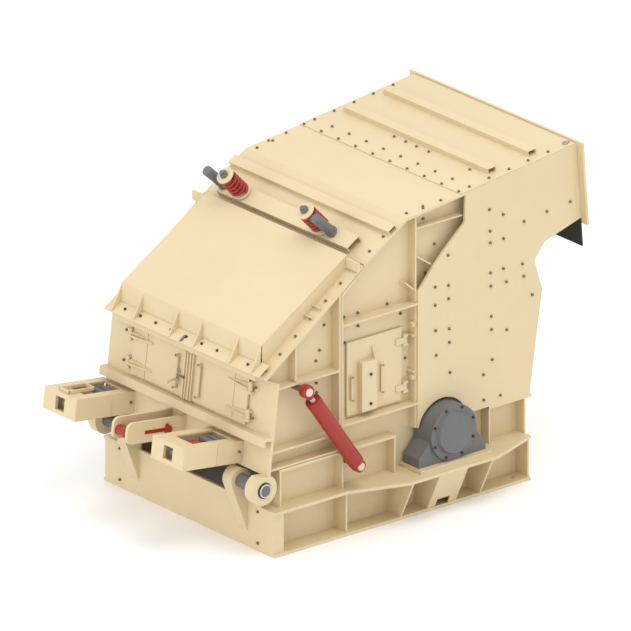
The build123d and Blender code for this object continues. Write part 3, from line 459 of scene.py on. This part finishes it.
def rod(start, end, radius, edge=2.0, sides=32):
    start, end = Vector(start) / 1000, Vector(end) / 1000
    bpy.ops.object.select_all(action="DESELECT")
    bpy.ops.mesh.primitive_cylinder_add(
        vertices=sides, radius=radius / 1000, depth=(end - start).length
    )
    piece = bpy.context.object
    bpy.ops.object.mode_set(mode="EDIT")
    pick("edges", lambda rim: rim.verts[0].co.z * rim.verts[1].co.z > 0)
    bpy.ops.mesh.bevel(offset=edge / 1000, segments=2)
    bpy.ops.object.mode_set(mode="OBJECT")
    bpy.ops.object.shade_smooth_by_angle(angle=radians(35))
    turn = (end - start).to_track_quat("Z", "Y").to_matrix().to_4x4()
    piece.matrix_world = Matrix.Translation((start + end) / 2) @ turn
    return piece


beam_middle = beam_foot + slope_up * (beam_size[2] / 2)
beam = folded_channel(beam_size, beam_plate, beam_middle / 1000, slope_run, slope_up)
wedges = [rod(seat - spring_axis * wedge_depth, seat, 50) for seat in spring_seats]
wedges += [rod(seat - tube_axis * wedge_depth, seat, 38) for seat in tube_seats]
stop_beam = settle(joined([beam] + wedges), "stop_beam", cream, "main_frame")
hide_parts("spring_beam")
plates = [
    rod(seat + spring_axis * low, seat + spring_axis * (low + plate_depth), plate_radius)
    for seat in spring_seats for low in (0, upper_plate)
]
spring_plates = settle(joined(plates), "spring_plates", cream, "main_frame")
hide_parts("spring_caps")
stems = []
for seat in spring_seats:
    stems.append(rod(seat, seat + spring_axis * stem_length, stem_radius))
    stems.append(rod(seat + spring_axis * nut_low, seat + spring_axis * nut_high, nut_radius, 3, 6))
spring_stems = settle(joined(stems), "spring_stems", grey, "main_frame")
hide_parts("spring_rods")
tubes = []
for seat in tube_seats:
    tubes.append(rod(seat, seat + tube_axis * tube_length, tube_radius, 4))
    tubes.append(rod(seat, seat + tube_axis * sleeve_length, sleeve_radius, 3))
stop_tubes = settle(joined(tubes), "stop_tubes", grey, "main_frame")
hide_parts("guide_tubes")
coil_radius = plate_radius / 1000 - wire_radius
coil_start, coil_end = coil_foot + wire_radius, coil_head - wire_radius
bpy.ops.object.select_all(action="DESELECT")
bpy.ops.mesh.primitive_circle_add(
    vertices=12, radius=wire_radius, location=(coil_radius, 0, coil_start), rotation=(pi / 2, 0, 0)
)
coil = bpy.context.object
bpy.ops.object.transform_apply(location=True, rotation=True)
winding = coil.modifiers.new("winding", "SCREW")
winding.axis = "Z"
winding.screw_offset = (coil_end - coil_start) / coil_turns
winding.iterations = coil_turns
winding.steps = winding.render_steps = 28
bpy.ops.object.modifier_apply(modifier=winding.name)
bpy.ops.object.mode_set(mode="EDIT")
bpy.ops.mesh.select_all(action="SELECT")
bpy.ops.mesh.remove_doubles(threshold=0.00005)
bpy.ops.mesh.fill_holes(sides=0)
bpy.ops.mesh.normals_make_consistent(inside=False)
bpy.ops.object.mode_set(mode="OBJECT")
bpy.ops.object.shade_smooth_by_angle(angle=radians(40))
coils = fasten("spring_coils", coil, spring_seats, spring_axis, "main_frame", red)
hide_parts("springs")
bpy.data.objects.remove(coil)

# Swing hinge: a through pin on each side of the base, turned from bar, with a bevelled end
# that stands out of a dark keeper ring on the outer ear. The bevelled rim is painted bright
# steel as a painted highlight on the chamfer.
hinge_x, hinge_z = -1324, 556
keeper_radius, keeper_depth, keeper_y = 0.064, 0.005, 0.9925
keeper_rim = 0.994
pin_steel = top_coat("pin_steel", (0.16, 0.155, 0.15), (0.11, 0.105, 0.10), 0.42, 0.1)
finish_nodes(pin_steel, "hinge_pins")
for side, sign in (("near", -1), ("far", 1)):
    bpy.ops.object.select_all(action="DESELECT")
    bpy.ops.mesh.primitive_cylinder_add(
        vertices=48, radius=keeper_radius, depth=keeper_depth,
        location=(hinge_x / 1000, sign * keeper_y, hinge_z / 1000),
        rotation=(-sign * pi / 2, 0, 0),
    )
    keeper = bpy.context.object
    bpy.ops.object.transform_apply(location=True, rotation=True)
    bpy.ops.object.mode_set(mode="EDIT")
    pick("edges", lambda edge: all(sign * end.co.y > keeper_rim for end in edge.verts))
    bpy.ops.mesh.bevel(offset=0.002, segments=2)
    bpy.ops.object.mode_set(mode="OBJECT")
    # The rim's bright colour is a painted highlight where the chamfer catches the light.
    rim = rod((hinge_x, sign * 1000, hinge_z), (hinge_x, sign * 1007, hinge_z), 54, 3, 48)
    settle(rim, f"hinge_pin_highlight_rim_{side}", rod_steel_and_highlight, "main_frame")
    face = rod((hinge_x, sign * 1001, hinge_z), (hinge_x, sign * 1008, hinge_z), 45, 1, 48)
    settle(face, f"hinge_pin_face_{side}", pin_steel, "main_frame")
    settle(keeper, f"hinge_keeper_{side}", dark_steel, "swing_frame")

# Swing frame: the front of the housing, which tips forward on the hinge. Its raked flanges
# are bolted along the chamber walls. A bent cover plate closes its top, with gussets and a
# row of screws on the slanted strip over the doors.
rake_x, rake_z, rake_rise = -343, 2128, 0.7265
cover_half = 844
cover_up, strip_up = (-0.5388, 0, 0.8425), (-0.536, 0, 0.844)
rake_up = (0.809, 0, 0.5878)
screw_start, screw_pitch, screw_count = 729, 184.5, 9


def rake_height(x):
    return rake_z + (x - rake_x) * rake_rise


places = [
    (x, y, rake_height(x))
    for x in (-1238, -1101, -952, -806, -658, -511, -365) for y in (-905, 905)
]
fasten("rake_flange_bolts", small_bolt, places, (-rake_rise, 0, 1), "swing_frame", bolt_steel)
cover = [
    flat_bar((-398, 0, 2190), (-1224, 0, 1662), 2 * cover_half, 14, cover_up),
    flat_bar((-1228, 0, 1668), (-1239, 0, 1522), 2 * cover_half, 12, (-0.997, 0, 0.076)),
    flat_bar((-1225, 0, 1524), (-1335, 0, 1454), 1856, 12, strip_up),
    block((-1296, -842, 1389), (-1196, 842, 1446)),
]
for sign in (-1, 1):
    cover.append(block(
        (-1238, sign * 824, 1440), (-398, sign * cover_half, 2210), 2,
        (((-398, 0, 2190), cover_up), ((-343, 0, 2120), (0.5878, 0, -0.809))),
    ))
    cover.append(block((-418, sign * cover_half, 2096), (-398, sign * 998, 2172), 3))
    for y in (838, 577, 144):
        cover.append(block(
            (-1334, sign * y - 6, 1450), (-1226, sign * y + 6, 1672), 1.5,
            (((-1226, 0, 1668), (-0.874, 0, 0.486)), ((-1335, 0, 1462), (0.536, 0, -0.844))),
        ))
    for x in (-811, -732):
        height = rake_height(x) + 16
        cover.append(flat_bar((x, sign * 842, height), (x, sign * 935, height), 36, 8, rake_up))
    cover.append(block((-991, sign * 868, 1345), (-975, sign * 950, 1640)))
slope_hood = settle(joined(cover), "slope_hood", cream, "swing_frame")
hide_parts("slope_cover")
latch_tongue = flat_bar((-1332, 8, 1466), (-1280, 8, 1500), 22, 12, strip_up)
settle(latch_tongue, "latch_tongue", grey, "swing_frame")
places = [(-1284, screw_start - screw_pitch * step, 1493) for step in range(screw_count)]
fasten("strip_bolts", small_bolt, places, strip_up, "swing_frame", dark_steel)

# Gap adjusters: two welded box brackets on the front wall, their end plates bolted at the
# corners, with dark steel rods, red slides and grey rollers inside. A bracket of two cheeks
# between them holds a red hydraulic ram.
wall_foot_x, wall_foot_z = -1290, 657
wall_lean, wall_rise = 0.12187, 0.99255
wall_out = (-wall_rise, 0, wall_lean)
adjuster_middles = (480, -826)
box_half, box_low, box_high = 191, 22, 194
end_bolt_half, end_bolt_out = 155, 562.5
far_frame, frame_half, frame_start, frame_end, frame_bar = adjuster_middles[1], 60, 290, 545, 12
cheek_length, cheek_plate, cheek_round = 570, 25, 0.055
ram_near, ram_far = -178, -40


def on_wall(x, height, out):
    return (
        wall_foot_x + wall_lean * height - wall_rise * out,
        -x,
        wall_foot_z + wall_rise * height + wall_lean * out,
    )


wall_frame = Matrix((
    (0, wall_lean, -wall_rise, wall_foot_x / 1000),
    (-1, 0, 0, 0),
    (0, wall_rise, wall_lean, wall_foot_z / 1000),
    (0, 0, 0, 1),
))


def on_front(pieces, name, paint, body):
    piece = joined(pieces)
    bpy.ops.object.select_all(action="DESELECT")
    piece.select_set(True)
    bpy.context.view_layer.objects.active = piece
    bpy.ops.object.transform_apply(location=True, rotation=True, scale=True)
    piece.matrix_world = wall_frame
    return settle(piece, name, paint, body)


def outer_end(edge):
    start, end = [corner.co for corner in edge.verts]
    level = abs(start.y - end.y) < 0.001 and abs(start.x - end.x) > 0.01
    return level and min(start.z, end.z) > 0.5


finish_nodes(pin_steel, "adjuster_rods")
places = [
    on_wall(middle + step * end_bolt_half, height, end_bolt_out)
    for middle in adjuster_middles for step in (-1, 1) for height in (44, 168)
]
fasten("adjuster_end_bolts", small_bolt, places, wall_out, "swing_frame", cream)
places = [on_wall(middle, 108, 515) for middle in adjuster_middles]
fasten("adjuster_nuts", large_bolt, places, wall_out, "swing_frame", pin_steel)
places = [on_wall(-28, height, 0) for height in (33, 130)]
fasten("bracket_bolts", small_bolt, places, wall_out, "swing_frame", bolt_steel)
places = [on_wall(middle + box_half, 110, 35) for middle in adjuster_middles]
fasten("adjuster_side_bolts", small_bolt, places, (0, -1, 0), "swing_frame", bolt_steel)
stiffeners, slides, rollers = [], [], []
for middle in adjuster_middles:
    for step in (-1, 1):
        for depth, start, end in ((8, 235, 251), (6, 0, 14), (5, 545, 574)):
            stiffeners.append(block(
                (middle + step * box_half, box_low, start),
                (middle + step * (box_half + depth), box_high, end),
            ))
    slides.append(block((middle - 62, 60, 270), (middle + 62, 166, 410), 6))
    rollers += [rod((middle - 88, 148, out), (middle + 88, 148, out), 28) for out in (100, 180)]
for step in (-1, 1):
    stiffeners.append(block(
        (far_frame + step * (frame_half - frame_bar), 196, frame_start),
        (far_frame + step * frame_half, 226, frame_end), 4,
    ))
for start in (frame_end - frame_bar, frame_start):
    stiffeners.append(block(
        (far_frame - frame_half, 196, start), (far_frame + frame_half, 226, start + frame_bar), 4
    ))
on_front(stiffeners, "adjuster_stiffeners", cream, "swing_frame")
on_front(slides, "adjuster_slides", red, "swing_frame")
on_front(rollers, "adjuster_rollers", grey, "swing_frame")
cheeks = []
for x in (-205, -38):
    cheek = block((x, 20, 0), (x + cheek_plate, 190, cheek_length), 0)
    bpy.ops.object.mode_set(mode="EDIT")
    pick("edges", outer_end)
    bpy.ops.mesh.bevel(offset=cheek_round, segments=8)
    bpy.ops.object.mode_set(mode="OBJECT")
    cheeks.append(cheek)
adjuster_cheeks = on_front(cheeks, "adjuster_cheeks", cream, "swing_frame")
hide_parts("adjuster_centre_bracket")
ram = [
    block((ram_near, 60, 20), (ram_far, 130, 420), 5),
    rod((ram_near, 92, 516), (ram_far, 92, 516), 44, 5),
    rod((-150, 92, 400), (-150, 92, 520), 20),
    rod((-68, 92, 400), (-68, 92, 520), 20),
    block((-13, 88, 150), (-9, 116, 400), 3),
    block((-13, 64, 176), (-4, 148, 204), 3),
    rod((-13, 102, 176), (6, 102, 176), 34, 4),
]
adjuster_rams = on_front(ram, "adjuster_rams", red, "swing_frame")
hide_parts("adjuster_ram")

# Front doors: flat steel inspection doors on welded strap hinges, whose blocks are bolted to
# the wall. A bent lever of round bar draws the far door's latch pin out of the middle post.
door_bolt_x, strap_start = 776, 448
door_face, strap_face = 22, 30
handle_x, handle_low, handle_high, handle_foot, handle_out = 135, 385, 640, 20, 92


def bent_rod(radius, corners, bend):
    corners = [Vector(corner) / 1000 for corner in corners]
    runs = [(after - before).normalized() for before, after in zip(corners, corners[1:])]
    bpy.ops.object.select_all(action="DESELECT")
    bpy.ops.mesh.primitive_circle_add(
        vertices=12, radius=radius / 1000, fill_type="NGON",
        location=corners[0], rotation=runs[0].to_track_quat("Z", "Y").to_euler(),
    )
    piece = bpy.context.object
    bpy.ops.object.transform_apply(location=True, rotation=True)
    bpy.ops.object.mode_set(mode="EDIT")
    bpy.ops.mesh.select_all(action="SELECT")
    start = corners[0]
    for number, run in enumerate(runs):
        corner = corners[number + 1]
        last = number == len(runs) - 1
        stop = corner if last else corner - run * bend / 1000
        bpy.ops.mesh.extrude_region_move(TRANSFORM_OT_translate={"value": stop - start})
        if not last:
            turn = run.angle(runs[number + 1])
            axle = run.cross(runs[number + 1]).normalized()
            middle = stop + axle.cross(run) * bend / 1000 / tan(turn / 2)
            bpy.ops.mesh.spin(steps=6, angle=turn, center=middle, axis=axle)
            start = corner + runs[number + 1] * bend / 1000
    bpy.ops.mesh.select_all(action="SELECT")
    bpy.ops.mesh.normals_make_consistent(inside=False)
    bpy.ops.object.mode_set(mode="OBJECT")
    bpy.ops.object.shade_smooth_by_angle(angle=radians(50))
    return piece


places = [on_wall(x, height, 20) for x in (-door_bolt_x, door_bolt_x) for height in (407, 647)]
fasten("front_hinge_bolts", small_bolt, places, wall_out, "swing_frame", bolt_steel)
for side, sign in (("near", 1), ("far", -1)):
    handle = [
        (sign * handle_x, handle_low, handle_foot), (sign * handle_x, handle_low, handle_out),
        (sign * handle_x, handle_high, handle_out), (sign * handle_x, handle_high, handle_foot),
    ]
    fittings = [
        block((sign * 3, 322, door_face), (sign * 53, 724, strap_face), 2),
        block((sign * 12, 322, strap_face), (sign * 24, 716, 44), 3),
        block((sign * 42, 322, strap_face), (sign * 53, 700, 44), 3),
        bent_rod(11, handle, 26),
        block((sign * 517, 336, door_face), (sign * 533, 706, 27), 1.5),
    ]
    for height in (410, 630):
        taper = (
            ((sign * strap_start, height + 8, 0), (-sign * 0.12, 0.99, 0)),
            ((sign * strap_start, height - 8, 0), (-sign * 0.12, -0.99, 0)),
        )
        fittings.append(block(
            (sign * strap_start, height - 30, door_face),
            (sign * 690, height + 30, strap_face), 2, taper,
        ))
        web_slope = (((sign * strap_start, 0, 30), (-sign * 0.17, 0, 0.985)),)
        fittings.append(block(
            (sign * strap_start, height - 6, 28), (sign * 700, height + 6, 62), 1.5, web_slope
        ))
    if side == "far":
        lever = [(-112, 520, 20), (-112, 520, 58), (-112, 372, 58), (-118, 350, 150)]
        fittings.append(bent_rod(10, lever, 20))
    on_front(
        fittings, f"front_door_fittings_{side}", cream, f"front_door_{side}"
    )
latch_pin = rod((-30, 490, 50), (-104, 490, 50), 9)
on_front([latch_pin], "latch_pin", pin_steel, "front_door_far")

# Side doors: steel chamber doors with a pressed channel held by two screws, a gusset on top
# of it and a welded handle of round bar on each side of it.
door_inner, channel_face, grip_foot = 890, 946, 888
for side, sign in (("near", -1), ("far", 1)):
    places = [(-251, sign * channel_face, z) for z in (981, 1220)]
    fasten(
        f"channel_bolts_{side}", small_bolt, places, (0, sign, 0), f"side_door_{side}", dark_steel
    )
    fittings = [
        block((-335, sign * door_inner, 925), (-187, sign * channel_face, 1328), 5),
        block(
            (-199, sign * door_inner, 1300), (-187, sign * 940, 1429), 2,
            (((0, sign * 944, 1310), (0, sign * 0.92, 0.39)),),
        ),
    ]
    for x, low, high in ((-404, 1033, 1223), (-110, 1031, 1251)):
        grip = [
            (x, sign * grip_foot, low), (x, sign * channel_face, low),
            (x, sign * channel_face, high), (x, sign * grip_foot, high),
        ]
        fittings.append(bent_rod(10, grip, 20))
    settle(
        joined(fittings), f"side_door_fittings_{side}", cream, f"side_door_{side}"
    )

# Lift cylinders: a red welded barrel and a ground bright rod on each side, hung on dark
# cross pins between the base and the swing frame. Plain steel heads close the pins outside.
foot_x, foot_z = -446, 554
top_x, top_z = -951, 1282
cylinder_y, eye_inner, eye_outer = 1034, 1004, 1064
head_inner, head_outer, head_radius = 1062, 1077, 32
bands_along = ((738, 752, 65), (758, 768, 64), (60, 76, 64))
finish_nodes(red, "cylinder_barrel_near", "cylinder_barrel_far")
finish_nodes(rod_steel_and_highlight, "cylinder_rod_near", "cylinder_rod_far")
finish_nodes(pin_steel, "cylinder_base_pins", "cylinder_swing_pins")
head_steel = top_coat("head_steel", (0.74, 0.58, 0.46), (0.62, 0.48, 0.38), 0.4, 0.05)
barrel_foot, barrel_top = Vector((foot_x, 0, foot_z)), Vector((top_x, 0, top_z))
barrel_run = (barrel_top - barrel_foot).normalized()
for side, sign in (("near", -1), ("far", 1)):
    middle = Vector((0, sign * cylinder_y, 0))
    eye = [
        rod((top_x, sign * eye_inner, top_z), (top_x, sign * eye_outer, top_z), 54, 4),
        rod(barrel_top + middle - barrel_run * 40, barrel_top + middle - barrel_run * 72, 31, 2),
    ]
    settle(joined(eye), f"rod_eye_{side}", red, f"cylinder_rod_{side}")
    bands = []
    for low, high, radius in bands_along:
        start = barrel_foot + middle + barrel_run * low
        bands.append(rod(start, barrel_foot + middle + barrel_run * high, radius, 3, 48))
    settle(joined(bands), f"barrel_bands_{side}", red, f"cylinder_barrel_{side}")
    for end, x, z, body in (
        ("base", foot_x, foot_z, "main_frame"), ("swing", top_x, top_z, "swing_frame")
    ):
        head = rod((x, sign * head_inner, z), (x, sign * head_outer, z), head_radius, 4)
        settle(head, f"{end}_pin_head_{side}", head_steel, body)

bpy.data.objects.remove(small_bolt)
bpy.data.objects.remove(large_bolt)
